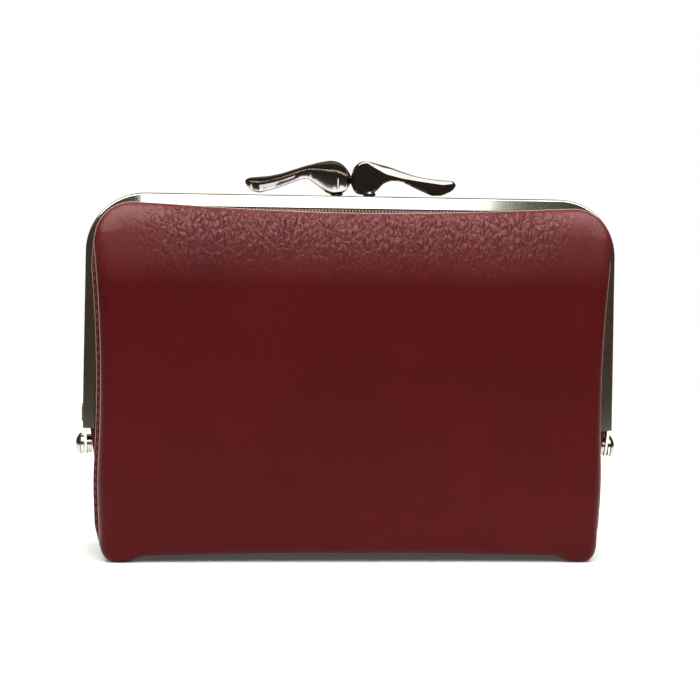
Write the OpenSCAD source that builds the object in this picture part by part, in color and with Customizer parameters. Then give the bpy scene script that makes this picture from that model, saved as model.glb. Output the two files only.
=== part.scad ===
// Kiss-lock coin purse: a padded front cover that folds down, and a coin pocket in a metal frame.
// Millimetres, +Z up. The front faces -Y. The origin is the middle of the base, on the ground.

/* [Frame] */
// Width over the frame's arms, at the hinge
frame_w = 125; // [122:0.5:128]
// Height of the frame's top face
frame_top = 84.6; // [84:0.1:88]
// Height of the hinge axis
hinge_z = 25.8; // [25:0.1:27]
// Outer radius of the frame's top corners
corner_r = 15; // [13:0.5:17]
// Outward lean of each arm on its way down, in degrees
arm_splay = 0.75; // [0.25:0.25:1.25]
// Depth of one frame half, front to back
half_depth = 5.5; // [5.5:0.1:5.8]
// Width of the channel's two faces
channel_w = 5; // [4.8:0.1:5.6]
// Thickness of the frame's sheet metal
sheet = 0.8; // [0.7:0.05:0.8]

/* [Hinge] */
// Radius of the rivet's shaft
rivet_r = 1; // [0.8:0.05:1.1]
// Radius of each tab's round eye
eye_r = 2.5; // [2.2:0.1:2.8]
// Radius of the rivet's outer head
rivet_head_r = 2.7; // [2.4:0.1:3]
// Radial clearance of every running fit
running_clearance = 0.05; // [0.02:0.01:0.1]

/* [Clasp] */
// Distance from the middle to each lever's post
post_x = 3.6; // [3.4:0.1:4]
// Radius of the lever's post
post_r = 1; // [0.8:0.05:1.1]
// Radius of the lever's round head
lever_head_r = 2.8; // [2.6:0.05:2.85]
// Reach of the lever from the middle to its toe
lever_reach = 24.8; // [22:0.2:26]

/* [Cover] */
// Half width of the cover at its waist
cover_half = 57.7; // [56:0.1:59]
// Extra half width at the top corners
cover_flare = 2.2; // [0:0.1:3]
// Height of the cover's top edge at its corners
cover_top = 82.4; // [80:0.1:83]
// How far the top edge sags in the middle
cover_sag = 1.7; // [0:0.1:3]
// Radius of the cover's top corners
cover_corner_r = 9; // [7:0.5:11]

/* [Leather] */
// Thickness of the outer leather
leather = 1.2; // [1:0.05:1.2]
// Thickness of the lining
lining = 0.55; // [0.4:0.05:0.55]
// Overall depth of the closed purse
depth = 28; // [27:0.5:29]
// Height of the lower rear wall, below the part that opens
rear_step_z = 16; // [12:0.5:16]
// How far the rear wall swells out behind the frame
rear_swell = 7.7; // [4:0.1:7.7]
// Rise of the arch under the base
base_arch = 2; // [0.5:0.1:2]

/* [Hidden] */

burgundy = "#5c1a1b";
lining_red = "#7a2a30";
nickel = "#cfc9b4";
gunmetal = "#55504e";
board_grey = "#9a9488";

// Frame: each half starts this far from the parting plane
parting = 0.1;
half_mid_y = parting + half_depth / 2;
corner_z = frame_top - corner_r;
corner_x = frame_w / 2 - corner_r * cos(arm_splay)
    - tan(arm_splay) * (corner_z + corner_r * sin(arm_splay) - hinge_z);
// The arms' channels stop this far above the hinge axis
arm_stop = 4.3;

// Hinge tabs: the front tab lies inside the rear one
tab_t = 0.7;
front_tab_x = frame_w / 2 - 1.1;
rear_tab_x = front_tab_x + tab_t + parting;
tab_rise = 8.5;
rivet_head_h = 1.25;
rivet_inner_r = 2.2;
rivet_inner_h = 1.05;

// Clasp
washer_t = 0.6;
washer_r = 1.7;
collar_r = 1.9;
collar_h = 1.4;
post_tail = sheet + parting + washer_t + 0.1;

// Pieces crimped into the channel start this far from its outer face
crimp_inset = 1.8;
cord_r = 0.95;
cord_inset = 3;
seam_gap = 0.05;
wall_y = parting + half_depth - sheet;
lining_y = wall_y - leather - seam_gap;
cord_y = lining_y - lining - seam_gap - cord_r;

// Base
base_t = 3;
base_half = 57.4;
base_fold_r = 1.6;
base_heel_r = 2.5;
board_t = 0.95;
floor_z = base_t + board_t + 2 * seam_gap;
foot_x = 48;

// Cover layers, front to back
cover_front = -depth / 2;
cover_bottom = 3.9;
cover_waist_z = 38;
cover_corner_z = cover_top - cover_corner_r;
cover_corner_x = cover_half + cover_flare - cover_corner_r;
foam_t = 2.7;
cover_board_t = 0.9;
back_panel_t = 0.7;
cover_rim = cover_front + leather + foam_t + cover_board_t + 3 * seam_gap;
slot_t = 0.5;
slot_half = 48;
magnet_r = 5;
magnet_x = 40;
magnet_z = 70;
catch_t = 0.5;
catch_r = 6;

// Rear wall
rear_wall_foot = 26;
wall_cols = 24;

// ---- Paths and surfaces ----

// Half width of the frame's arm at a height, this far in from its outer face
function arm_x(inset, z) = corner_x + (corner_r - inset) * cos(arm_splay)
    + tan(arm_splay) * (corner_z + (corner_r - inset) * sin(arm_splay) - z);

// Right edge of whatever follows the frame, as [half width, height] from a foot up to the top bar
function frame_edge(inset, foot_z, steps, arc_step) = concat(
    [for (i = [0 : steps]) let (z = foot_z + (corner_z - foot_z) * i / steps) [arm_x(inset, z), z]],
    [for (a = [arc_step : arc_step : 90])
        [corner_x + (corner_r - inset) * cos(a), corner_z + (corner_r - inset) * sin(a)]]
);

function mirrored(edge) = concat(edge, [for (i = [len(edge) - 1 : -1 : 0]) [-edge[i][0], edge[i][1]]]);

// Outline of a flat wall: narrow at the base, and held by the frame above the hinge
function flat_wall(inset, foot_half) =
    mirrored(concat([[foot_half, floor_z]], frame_edge(inset, hinge_z + arm_stop, 1, 10)));

// An outline standing in the XZ plane, from y0 to y1
module upright(outline, y0, y1) {
    translate([0, y1, 0])
        rotate([90, 0, 0])
            linear_extrude(y1 - y0) polygon(outline);
}

// Outline of the cover: flared sides, round top corners and a sagging top edge
function cover_side_x(z) = cover_half
    + cover_flare * pow(max(0, (z - cover_waist_z) / (cover_corner_z - cover_waist_z)), 2);
function cover_outline(inset) = mirrored(concat(
    [[cover_half - inset - 1.5, cover_bottom + inset]],
    [for (i = [0 : 8]) let (z = cover_bottom + inset + 2 + (cover_corner_z - cover_bottom - inset - 2) * i / 8)
        [cover_side_x(z) - inset, z]],
    [for (a = [10 : 10 : 90])
        [cover_corner_x + (cover_corner_r - inset) * cos(a), cover_corner_z + (cover_corner_r - inset) * sin(a)]],
    [for (i = [1 : 5]) let (x = cover_corner_x * (1 - i / 6))
        [x, cover_top - inset - cover_sag * (1 - pow(x / cover_corner_x, 2))]]
));

function split_quads(quads) = [for (q = quads) each [[q[0], q[1], q[2]], [q[0], q[2], q[3]]]];

// A closed solid through upright rings of equal length, each given as [outline, y]
module loft(rings) {
    n = len(rings[0][0]);
    last = (len(rings) - 1) * n;
    polyhedron(
        points = [for (ring = rings) for (p = ring[0]) [p[0], ring[1], p[1]]],
        faces = concat(
            [[for (i = [0 : n - 1]) i]],
            [[for (i = [n - 1 : -1 : 0]) last + i]],
            split_quads([for (j = [0 : len(rings) - 2]) for (i = [0 : n - 1]) let (k = (i + 1) % n)
                [(j + 1) * n + i, (j + 1) * n + k, j * n + k, j * n + i]])
        )
    );
}

function smooth(t) = let (c = min(1, max(0, t))) c * c * (3 - 2 * c);

// Share of the rear wall's swelling at a fraction u across and a height z
function swelling(u, z) = smooth((0.9 - abs(u)) / 0.45) * smooth((frame_top - channel_w - 4 - z) / 40);

// A sheet whose edge lies flat in the frame and whose middle swells out to the rear
module swelling_sheet(edge_y, thick, inset) {
    rows = frame_edge(inset, rear_wall_foot, 12, 10);
    m = wall_cols;
    width = m + 1;
    back = len(rows) * width;
    top = (len(rows) - 1) * width;
    polyhedron(
        points = [for (s = [0, 1]) for (row = rows) for (i = [0 : m]) let (u = 2 * i / m - 1)
            [u * row[0], edge_y + s * thick + rear_swell * swelling(u, row[1]), row[1]]],
        faces = split_quads(concat(
            [for (r = [0 : len(rows) - 2]) for (c = [0 : m - 1]) let (k = r * width + c)
                [k, k + width, k + width + 1, k + 1]],
            [for (r = [0 : len(rows) - 2]) for (c = [0 : m - 1]) let (k = back + r * width + c)
                [k, k + 1, k + width + 1, k + width]],
            [for (c = [0 : m - 1]) [c, c + 1, back + c + 1, back + c]],
            [for (c = [0 : m - 1]) let (k = top + c) [k, back + k, back + k + 1, k + 1]],
            [for (r = [0 : len(rows) - 2]) let (k = r * width) [k, back + k, back + k + width, k + width]],
            [for (r = [0 : len(rows) - 2]) let (k = r * width + m) [k, k + width, back + k + width, back + k]]
        ))
    );
}

// ---- Frame ----

// Upright slab from y0 to y1 inside the frame's outer face, this far in; drop lowers its foot
module frame_slab(inset, y0, y1, drop) {
    upright(mirrored(frame_edge(inset, hinge_z + arm_stop - drop, 1, 5)), min(y0, y1), max(y0, y1));
}

// U channel open towards the middle; side is 1 for the front half and -1 for the rear half
module channel(side) {
    near = -side * parting;
    far = -side * (parting + half_depth);
    difference() {
        frame_slab(0, near, far, 0);
        frame_slab(channel_w, near + side, far - side, 1);
        frame_slab(sheet, near - side * sheet, far + side * sheet, 1);
    }
}

// Flat tab from the arm's end down to its eye around the hinge axis
module hinge_tab(side, x, hole_r) {
    near = 1.2;
    far = 4.5;
    translate([x, 0, hinge_z])
        rotate([90, 0, 90])
            linear_extrude(tab_t)
                difference() {
                    union() {
                        circle(r = eye_r, $fn = 64);
                        polygon([
                            [-side * far, tab_rise], [-side * near, tab_rise], [-side * near, arm_stop],
                            [side * eye_r * 0.85, eye_r * 0.4], [-side * eye_r * 0.85, -eye_r * 0.4],
                            [-side * far, arm_stop]
                        ]);
                    }
                    circle(r = hole_r, $fn = 64);
                }
}

module frame_half(side, tab_x, hole_r) {
    color(nickel)
        difference() {
            union() {
                channel(side);
                hinge_tab(side, tab_x, hole_r);
                mirror([1, 0, 0]) hinge_tab(side, tab_x, hole_r);
            }
            translate([side * post_x, -side * half_mid_y, frame_top - 2 * sheet])
                cylinder(r = post_r + running_clearance, h = 4 * sheet, $fn = 64);
        }
}

module front_frame() {
    frame_half(1, front_tab_x, rivet_r);
}

module rear_frame() {
    frame_half(-1, rear_tab_x, rivet_r + running_clearance);
}

// Rivet on the right: inner head, shaft through both tabs, and a domed outer head
module hinge_rivet_right() {
    inner_x = front_tab_x - rivet_inner_h;
    dome_x = rear_tab_x + tab_t + seam_gap;
    dome_r = (rivet_head_r * rivet_head_r + rivet_head_h * rivet_head_h) / (2 * rivet_head_h);
    color(nickel)
        translate([0, 0, hinge_z])
            rotate([0, 90, 0]) {
                translate([0, 0, inner_x]) cylinder(r = rivet_inner_r, h = rivet_inner_h, $fn = 64);
                translate([0, 0, inner_x]) cylinder(r = rivet_r, h = dome_x - inner_x + seam_gap, $fn = 64);
                intersection() {
                    translate([0, 0, dome_x + rivet_head_h - dome_r]) sphere(r = dome_r, $fn = 96);
                    translate([0, 0, dome_x]) cylinder(r = rivet_head_r, h = 2 * rivet_head_h, $fn = 64);
                }
            }
}

module hinge_rivet_left() {
    mirror([1, 0, 0]) hinge_rivet_right();
}

// Cord that fills the channel and holds the leather in it
module crimp_cord(side) {
    near = -side * (cord_y - cord_r);
    far = -side * (cord_y + cord_r);
    color(board_grey)
        difference() {
            frame_slab(cord_inset - cord_r, near, far, 0);
            frame_slab(cord_inset + cord_r, near + side, far - side, 1);
        }
}

module front_crimp_cord() {
    crimp_cord(1);
}

module rear_crimp_cord() {
    crimp_cord(-1);
}

// ---- Clasp ----

// Lever on the front half: toe, shin, neck, cheek and a tall round head, as [x, y, height, radius]
module clasp_lever_right() {
    head_x = lever_head_r + 0.3;
    joints = [
        [lever_reach - 1.8, -2.9, 2.3, 1.8],
        [16.7, -2.8, 2.9, 1.7],
        [11.5, -2.4, 4.7, 1.3],
        [7.4, -1.6, 5.3, 1.9],
        [head_x, -0.9, 8.3 - lever_head_r, lever_head_r],
        [head_x, -0.9, 0.45 + lever_head_r, lever_head_r]
    ];
    color(gunmetal)
        translate([0, 0, frame_top]) {
            for (i = [0 : len(joints) - 2])
                hull()
                    for (p = [joints[i], joints[i + 1]])
                        translate([p[0], p[1], p[2]]) sphere(r = p[3], $fn = 24);
            translate([post_x, -half_mid_y, -post_tail])
                cylinder(r = post_r, h = post_tail + lever_head_r, $fn = 64);
            translate([post_x, -half_mid_y, parting]) cylinder(r = collar_r, h = collar_h, $fn = 64);
        }
}

module clasp_lever_left() {
    rotate([0, 0, 180]) clasp_lever_right();
}

// Washer under the top wall that the post is riveted over
module clasp_washer_right() {
    color(nickel)
        translate([post_x, -half_mid_y, frame_top - sheet - parting - washer_t])
            difference() {
                cylinder(r = washer_r, h = washer_t, $fn = 64);
                translate([0, 0, -washer_t]) cylinder(r = post_r, h = 3 * washer_t, $fn = 64);
            }
}

module clasp_washer_left() {
    rotate([0, 0, 180]) clasp_washer_right();
}

// ---- Cover ----

// Front leather: a soft-edged tray, open at the back
module cover_leather() {
    floor_y = cover_front + leather;
    color(burgundy)
        loft([
            [cover_outline(leather + 0.4), floor_y],
            [cover_outline(leather), cover_rim],
            [cover_outline(0), cover_rim],
            [cover_outline(0), cover_front + 2.6],
            [cover_outline(0.5), cover_front + 1.2],
            [cover_outline(1.4), cover_front + 0.35],
            [cover_outline(2.6), cover_front]
        ]);
}

module cover_foam() {
    front = cover_front + leather + seam_gap;
    color("#d8cfc0") upright(cover_outline(leather + 0.5), front, front + foam_t);
}

module magnet_discs(r, y0, y1) {
    for (x = [-magnet_x, magnet_x])
        translate([x, y1, magnet_z])
            rotate([90, 0, 0]) cylinder(r = r, h = y1 - y0, $fn = 64);
}

module cover_board() {
    back = cover_rim - seam_gap;
    color(board_grey)
        difference() {
            upright(cover_outline(leather + 0.6), back - cover_board_t, back);
            magnet_discs(magnet_r + seam_gap, back - 2 * cover_board_t, back + cover_board_t);
        }
}

module cover_magnets() {
    back = cover_rim - seam_gap;
    color("silver") magnet_discs(magnet_r, back - cover_board_t, back);
}

// Rear panel of the cover, a little wider than the padded front, where the edge seam runs
module cover_back_panel() {
    color(lining_red) upright(cover_outline(-0.8), cover_rim + seam_gap, cover_rim + seam_gap + back_panel_t);
}

// A card slot: layer counts back from the panel, and each lower slot stands further out
module card_slot(layer, top_z) {
    front = cover_rim + seam_gap + back_panel_t + 0.1 + layer * (slot_t + 0.1);
    color(lining_red)
        upright([[-slot_half, 6], [slot_half, 6], [slot_half, top_z], [-slot_half, top_z]], front, front + slot_t);
}

module card_slot_upper() {
    card_slot(0, 68);
}

module card_slot_middle() {
    card_slot(1, 58);
}

module card_slot_lower() {
    card_slot(2, 48);
}

// ---- Base ----

// Leather wrapped under the base and up the back, arched underneath between its two feet
module base_leather() {
    front = -depth / 2;
    rear = depth / 2;
    section = concat(
        [for (a = [180 : 15 : 270])
            [front + base_fold_r + base_fold_r * cos(a), base_fold_r + base_fold_r * sin(a)]],
        [for (a = [270 : 15 : 360])
            [rear - base_heel_r + base_heel_r * cos(a), base_heel_r + base_heel_r * sin(a)]],
        [[rear, rear_step_z], [rear - leather - 0.4, rear_step_z], [rear - leather - 0.4, base_t], [front, base_t]]
    );
    arch = concat(
        [[foot_x, -1], [-foot_x, -1]],
        [for (i = [0 : 24]) let (x = foot_x * (i / 12 - 1)) [x, base_arch * cos(90 * x / foot_x)]]
    );
    color(burgundy)
        difference() {
            translate([-base_half, 0, 0]) rotate([90, 0, 90]) linear_extrude(2 * base_half) polygon(section);
            upright(arch, -depth, depth);
        }
}

module base_board() {
    color(board_grey)
        translate([-56, -5.5, base_t + seam_gap]) cube([112, 17.8, board_t]);
}

module base_lining() {
    color(lining_red)
        translate([-56, -2.9, floor_z + seam_gap]) cube([112, 15.1, lining - 0.1]);
}

// ---- Front wall of the coin pocket ----

module front_wall_leather() {
    color(burgundy)
        difference() {
            upright(flat_wall(crimp_inset, 57), -wall_y, leather - wall_y);
            magnet_discs(catch_r + seam_gap, leather - wall_y - catch_t, leather - wall_y + 1);
        }
}

// Steel discs skived into the back of the wall, which the cover's magnets pull on
module catch_plates() {
    color("silver") magnet_discs(catch_r, leather - wall_y - catch_t, leather - wall_y);
}

module front_wall_lining() {
    color(lining_red) upright(flat_wall(crimp_inset, 57), -lining_y, lining - lining_y);
}

// Flat pocket for folded notes, on the front of the wall and open at its top
module bill_pocket() {
    front = -parting - half_depth;
    half = 54;
    top = 60;
    color(lining_red)
        upright([[-half, floor_z], [half, floor_z], [half, top], [-half, top]], front, front + lining);
}

// ---- Rear wall of the coin pocket ----

module rear_wall_leather() {
    color(burgundy) swelling_sheet(wall_y - leather, leather - 0.02, crimp_inset);
}

module rear_wall_lining() {
    color(lining_red) swelling_sheet(lining_y - lining, lining, crimp_inset);
}

// ---- Gussets ----

// Pleated side of the pocket below the hinge, folded in between the two walls
module gusset(inset, thick, tint) {
    edge = 57.5 - inset;
    pleat = 52.5 - inset;
    foot = floor_z + lining + seam_gap;
    color(tint)
        translate([0, 0, foot])
            linear_extrude(22 - foot)
                polygon([
                    [edge, -2.9], [pleat, 4.2], [edge, 11.4],
                    [edge - thick, 11.4], [pleat - thick, 4.2], [edge - thick, -2.9]
                ]);
}

module gusset_right() {
    gusset(0, 0.9, burgundy);
}

module gusset_left() {
    mirror([1, 0, 0]) gusset_right();
}

module gusset_lining_right() {
    gusset(1, lining, lining_red);
}

module gusset_lining_left() {
    mirror([1, 0, 0]) gusset_lining_right();
}

front_frame();
rear_frame();
hinge_rivet_left();
hinge_rivet_right();
clasp_lever_left();
clasp_lever_right();
clasp_washer_left();
clasp_washer_right();
front_crimp_cord();
rear_crimp_cord();
cover_leather();
cover_foam();
cover_board();
cover_magnets();
cover_back_panel();
card_slot_upper();
card_slot_middle();
card_slot_lower();
base_leather();
base_board();
base_lining();
front_wall_leather();
catch_plates();
front_wall_lining();
bill_pocket();
rear_wall_leather();
rear_wall_lining();
gusset_left();
gusset_right();
gusset_lining_left();
gusset_lining_right();
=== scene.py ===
"""Looks of the coin purse: leather, lining, kiss-lock frame and clasp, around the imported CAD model.

Lengths in this file are millimetres in the CAD's frame; MM turns them into metres where a mesh is made.
"""
import math

import bpy
import numpy as np
from mathutils import Matrix, Vector


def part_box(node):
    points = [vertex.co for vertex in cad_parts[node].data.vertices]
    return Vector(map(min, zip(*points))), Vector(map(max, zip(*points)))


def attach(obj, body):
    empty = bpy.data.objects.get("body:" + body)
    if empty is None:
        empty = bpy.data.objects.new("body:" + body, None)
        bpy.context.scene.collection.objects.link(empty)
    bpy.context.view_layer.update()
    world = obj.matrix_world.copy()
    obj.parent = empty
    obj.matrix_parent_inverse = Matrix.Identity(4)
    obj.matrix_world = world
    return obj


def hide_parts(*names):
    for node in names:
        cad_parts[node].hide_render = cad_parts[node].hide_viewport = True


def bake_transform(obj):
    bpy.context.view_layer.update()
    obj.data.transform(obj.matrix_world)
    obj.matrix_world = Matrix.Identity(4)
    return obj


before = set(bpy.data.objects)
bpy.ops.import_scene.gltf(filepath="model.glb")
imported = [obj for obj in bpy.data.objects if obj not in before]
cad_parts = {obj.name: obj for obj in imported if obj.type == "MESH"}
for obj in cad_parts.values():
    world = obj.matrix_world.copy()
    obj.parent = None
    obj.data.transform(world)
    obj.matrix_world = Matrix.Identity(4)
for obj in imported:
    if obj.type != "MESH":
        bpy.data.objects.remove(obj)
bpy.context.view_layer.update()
MM = 0.001


def node_box(name):
    """Lowest and highest corner of a CAD node, in millimetres."""
    low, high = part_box(name)
    return np.array(low) / MM, np.array(high) / MM


# ---------------- sizes taken from the frame
FRAME_TOP = node_box("front_frame")[1][2]
rivet_low, rivet_high = node_box("hinge_rivet_right")
HINGE_Z = (rivet_low[2] + rivet_high[2]) / 2
cover_low, cover_high = node_box("cover_leather")
COVER_FRONT = cover_low[1]
COVER_RIM = cover_high[1]
COVER_TOP = cover_high[2]
REAR_Y = node_box("base_leather")[1][1]

# ---------------- small tools


def smooth(t):
    t = np.clip(t, 0.0, 1.0)
    return t * t * (3 - 2 * t)


def lattice_noise(u, v, seed):
    """Smooth value noise from 0 to 1 over a fixed random lattice."""
    table = np.random.RandomState(seed).rand(256, 256)
    iu, iv = np.floor(u).astype(int), np.floor(v).astype(int)
    fu, fv = smooth(u - iu), smooth(v - iv)

    def at(a, b):
        return table[a % 256, b % 256]

    low = at(iu, iv) * (1 - fu) + at(iu + 1, iv) * fu
    high = at(iu, iv + 1) * (1 - fu) + at(iu + 1, iv + 1) * fu
    return low * (1 - fv) + high * fv


def grid_faces(rows, cols, wrap=False, flip=False):
    """Quads of a grid of points stored row by row; wrap closes each row on itself."""
    faces = []
    for r in range(rows - 1):
        for c in range(cols if wrap else cols - 1):
            d = (c + 1) % cols
            quad = (r * cols + c, r * cols + d, (r + 1) * cols + d, (r + 1) * cols + c)
            faces.append(quad[::-1] if flip else quad)
    return faces


def capped_faces(rows, cols, caps_reversed=False):
    """Quads around a stack of closed rings, with one face over each end."""
    first, last = tuple(range(cols)), tuple(range((rows - 1) * cols, rows * cols))
    caps = [first[::-1], last] if caps_reversed else [first, last[::-1]]
    return grid_faces(rows, cols, wrap=True) + caps


def piece(name, points, faces, materials, slot, indices=None, sharp=None):
    """A mesh object from points in millimetres."""
    mesh = bpy.data.meshes.new(name)
    mesh.from_pydata((np.asarray(points, float).reshape(-1, 3) * MM).tolist(), [], faces)
    mesh.update()
    for material in materials:
        mesh.materials.append(material)
    if indices is not None:
        mesh.polygons.foreach_set("material_index", np.asarray(indices, np.int32))
    mesh.polygons.foreach_set("use_smooth", np.ones(len(mesh.polygons), bool))
    if sharp:
        mesh.set_sharp_from_angle(angle=math.radians(sharp))
    obj = bpy.data.objects.new(name, mesh)
    bpy.context.scene.collection.objects.link(obj)
    return obj


def weld(obj, distance=0.01):
    """Joins points that lie together, and points every face outwards."""
    import bmesh
    bm = bmesh.new()
    bm.from_mesh(obj.data)
    bmesh.ops.remove_doubles(bm, verts=bm.verts, dist=distance * MM)
    bmesh.ops.recalc_face_normals(bm, faces=bm.faces)
    bm.to_mesh(obj.data)
    bm.free()
    return obj


def resampled(points, count, closed=False):
    """The same polyline with evenly spaced points."""
    points = np.asarray(points, float)
    if closed:
        points = np.vstack([points, points[:1]])
    length = np.concatenate([[0], np.cumsum(np.linalg.norm(np.diff(points, axis=0), axis=1))])
    at = np.linspace(0, length[-1], count + (1 if closed else 0))
    out = np.stack([np.interp(at, length, points[:, k]) for k in range(points.shape[1])], 1)
    return out[:-1] if closed else out


def path_normals(path, closed=False):
    """Unit normals to the left of a 2-D path's direction."""
    if closed:
        tangent = np.roll(path, -1, 0) - np.roll(path, 1, 0)
    else:
        tangent = np.gradient(path, axis=0)
    tangent /= np.linalg.norm(tangent, axis=1)[:, None]
    return np.stack([-tangent[:, 1], tangent[:, 0]], 1)


def arc(centre, radius, start, end, steps):
    a = np.radians(np.linspace(start, end, steps))
    return np.stack([centre[0] + radius * np.cos(a), centre[1] + radius * np.sin(a)], 1)


# ---------------- materials


def set_stops(node, stops):
    """Gives a colour ramp node its (position, colour) stops, in rising order."""
    elements = node.color_ramp.elements
    while len(elements) < len(stops):
        elements.new(0.5)
    for element, (position, colour) in zip(elements, stops):
        element.position, element.color = position, (*colour, 1)


class Nodes:
    """A node tree with short calls for adding and joining nodes."""

    def __init__(self, name):
        self.material = bpy.data.materials.new(name)
        self.material.use_nodes = True
        self.tree = self.material.node_tree
        self.shader = self.tree.nodes["Principled BSDF"]
        self.place = self.add("ShaderNodeTexCoord").outputs["Object"]

    def add(self, kind, **settings):
        node = self.tree.nodes.new(kind)
        for key, value in settings.items():
            if hasattr(node, key):
                setattr(node, key, value)
            else:
                node.inputs[key.replace("_", " ")].default_value = value
        return node

    def link(self, source, target):
        self.tree.links.new(source, target)

    def mapping(self, scale=(1, 1, 1), rotation=(0, 0, 0), vector=None):
        node = self.add("ShaderNodeMapping", Scale=scale, Rotation=rotation)
        self.link(vector or self.place, node.inputs["Vector"])
        return node.outputs["Vector"]

    def warped(self, scale, amount):
        """Coordinates pushed about by noise, by up to about this many millimetres."""
        noise = self.add("ShaderNodeTexNoise", Scale=scale, Detail=2.0)
        self.link(self.place, noise.inputs["Vector"])
        centred = self.add("ShaderNodeVectorMath", operation="SUBTRACT")
        centred.inputs[1].default_value = (0.5, 0.5, 0.5)
        self.link(noise.outputs["Color"], centred.inputs[0])
        shift = self.add("ShaderNodeVectorMath", operation="SCALE", Scale=2 * amount * MM)
        self.link(centred.outputs["Vector"], shift.inputs[0])
        total = self.add("ShaderNodeVectorMath", operation="ADD")
        self.link(self.place, total.inputs[0])
        self.link(shift.outputs["Vector"], total.inputs[1])
        return total.outputs["Vector"]

    def noise(self, scale, detail=4.0, roughness=0.55, vector=None):
        node = self.add("ShaderNodeTexNoise", Scale=scale, Detail=detail, Roughness=roughness)
        self.link(vector or self.place, node.inputs["Vector"])
        return node.outputs["Fac"]

    def voronoi(self, scale, feature, vector):
        node = self.add("ShaderNodeTexVoronoi", feature=feature, Scale=scale)
        self.link(vector, node.inputs["Vector"])
        return node.outputs["Distance"]

    def wave(self, direction, scale, distortion, **settings):
        node = self.add("ShaderNodeTexWave", wave_type="BANDS", bands_direction=direction,
                        Scale=scale, Distortion=distortion, **settings)
        self.link(self.place, node.inputs["Vector"])
        return node.outputs["Fac"]

    def math(self, operation, a, b=0.0, clamp=False):
        node = self.add("ShaderNodeMath")
        node.operation = operation
        node.use_clamp = clamp
        for socket, value in zip(node.inputs, (a, b)):
            if isinstance(value, (int, float)):
                socket.default_value = value
            else:
                self.link(value, socket)
        return node.outputs[0]

    def ramp(self, value, stops):
        node = self.add("ShaderNodeValToRGB")
        set_stops(node, stops)
        self.link(value, node.inputs["Fac"])
        return node.outputs["Color"]

    def span(self, value, low, high, new_low, new_high):
        node = self.add("ShaderNodeMapRange", From_Min=low, From_Max=high, To_Min=new_low, To_Max=new_high)
        self.link(value, node.inputs["Value"])
        return node.outputs["Result"]

    def bump(self, layers):
        """Bump from (height socket, strength, distance in mm), each on top of the one before."""
        normal = None
        for height, strength, distance in layers:
            node = self.add("ShaderNodeBump", Strength=strength, Distance=distance * MM)
            self.link(height, node.inputs["Height"])
            if normal is not None:
                self.link(normal, node.inputs["Normal"])
            normal = node.outputs["Normal"]
        self.to("Normal", normal)

    def set(self, **values):
        for key, value in values.items():
            self.shader.inputs[key.replace("_", " ")].default_value = value

    def to(self, socket, source):
        self.link(source, self.shader.inputs[socket])


def leather(name, dark, mid, light, grain=1.0, creases=0.0):
    """Soft leather: pebbles and short crossing wrinkles, strongest high up, creased cells near the top edge.

    Nearer the top edge it is glossier, and its colour is painted paler there as a painted highlight; creases
    is their depth in millimetres.
    """
    n = Nodes(name)
    split = n.add("ShaderNodeSeparateXYZ")
    n.link(n.place, split.inputs[0])
    height = split.outputs["Z"]

    def rising(low, high, at_low, at_high):
        return n.span(height, low * MM, high * MM, at_low, at_high)

    def edges(scale, squeeze, slant, width):
        """Cells with grooves between them, flat beyond a share of the cell's width."""
        where = n.mapping((1, 1, squeeze), (0, slant, 0), loose)
        return n.span(n.voronoi(scale, "DISTANCE_TO_EDGE", where), 0.0, width, 0.0, 1.0)

    clouds = n.noise(32, 5, 0.6)
    middle = n.span(n.math("ABSOLUTE", split.outputs["X"]), 41 * MM, 52 * MM, 1.0, 0.12)
    patches = n.math("MULTIPLY", n.span(n.noise(70, 3, 0.5), 0.38, 0.62, 0.15, 1.0), middle)
    upper = n.math("MULTIPLY", rising(36, 70, 0.05, 1.0), patches)
    loose = n.warped(600, 0.65)
    cells = edges(900, 0.40, 0.3, 0.32)
    flecks = edges(1000, 0.6, 0.9, 0.2)
    pebbles = n.voronoi(1700, "SMOOTH_F1", n.mapping((1, 1, 0.8), (0, 0.5, 0)))
    pores = n.noise(4200, 3, 0.6)
    mottle = n.noise(900, 4, 0.65)
    tone = n.math("ADD", n.math("MULTIPLY", n.math("SUBTRACT", clouds, 0.5), 0.7), 0.42)
    # painted highlight: the colour turns paler from 64 to 79 mm up, standing in for the light on the rounded
    # top edge
    tone = n.math("ADD", tone, rising(64, 79, 0.0, 0.4))
    tone = n.math("ADD", tone, n.math("MULTIPLY", n.math("SUBTRACT", mottle, 0.5), 0.3), clamp=True)
    n.to("Base Color", n.ramp(tone, [(0.0, dark), (0.5, mid), (1.0, light)]))
    n.to("Roughness", n.span(mottle, 0.25, 0.75, 0.38, 0.50))
    n.to("Specular IOR Level", rising(64, 80, 0.13, 1.0))
    n.set(Specular_Tint=(1.0, 0.74, 0.72, 1.0))
    layers = [(clouds, 0.2, 0.5 * grain),
              (n.math("MULTIPLY", flecks, upper), 0.8 * grain, 0.055),
              (n.math("MULTIPLY", pebbles, upper), 0.7 * grain, 0.10),
              (pores, 0.16 * grain, 0.03)]
    if creases:
        band = n.math("MULTIPLY", rising(63, 75, 0.0, 1.0), middle)
        layers.insert(1, (n.math("MULTIPLY", cells, band), 1.0, creases))
    n.bump(layers)
    return n.material


def edge_paint(name, colour):
    """Cut edge of the leather: pale and fibrous."""
    n = Nodes(name)
    fibres = n.noise(3000, 3, 0.6, n.mapping((1, 1, 0.25)))
    darker = tuple(c * 0.55 for c in colour)
    n.to("Base Color", n.ramp(fibres, [(0.25, darker), (0.75, colour)]))
    n.set(Roughness=0.6)
    n.bump([(fibres, 0.5, 0.06)])
    return n.material


def thread(name, colour):
    """Twisted sewing thread."""
    n = Nodes(name)
    ply = n.wave("DIAGONAL", 900, 0.6)
    n.to("Base Color", n.ramp(ply, [(0.1, tuple(c * 0.5 for c in colour)), (0.8, colour)]))
    n.set(Roughness=0.55, Sheen_Weight=0.2)
    n.bump([(ply, 0.6, 0.05)])
    return n.material


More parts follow.
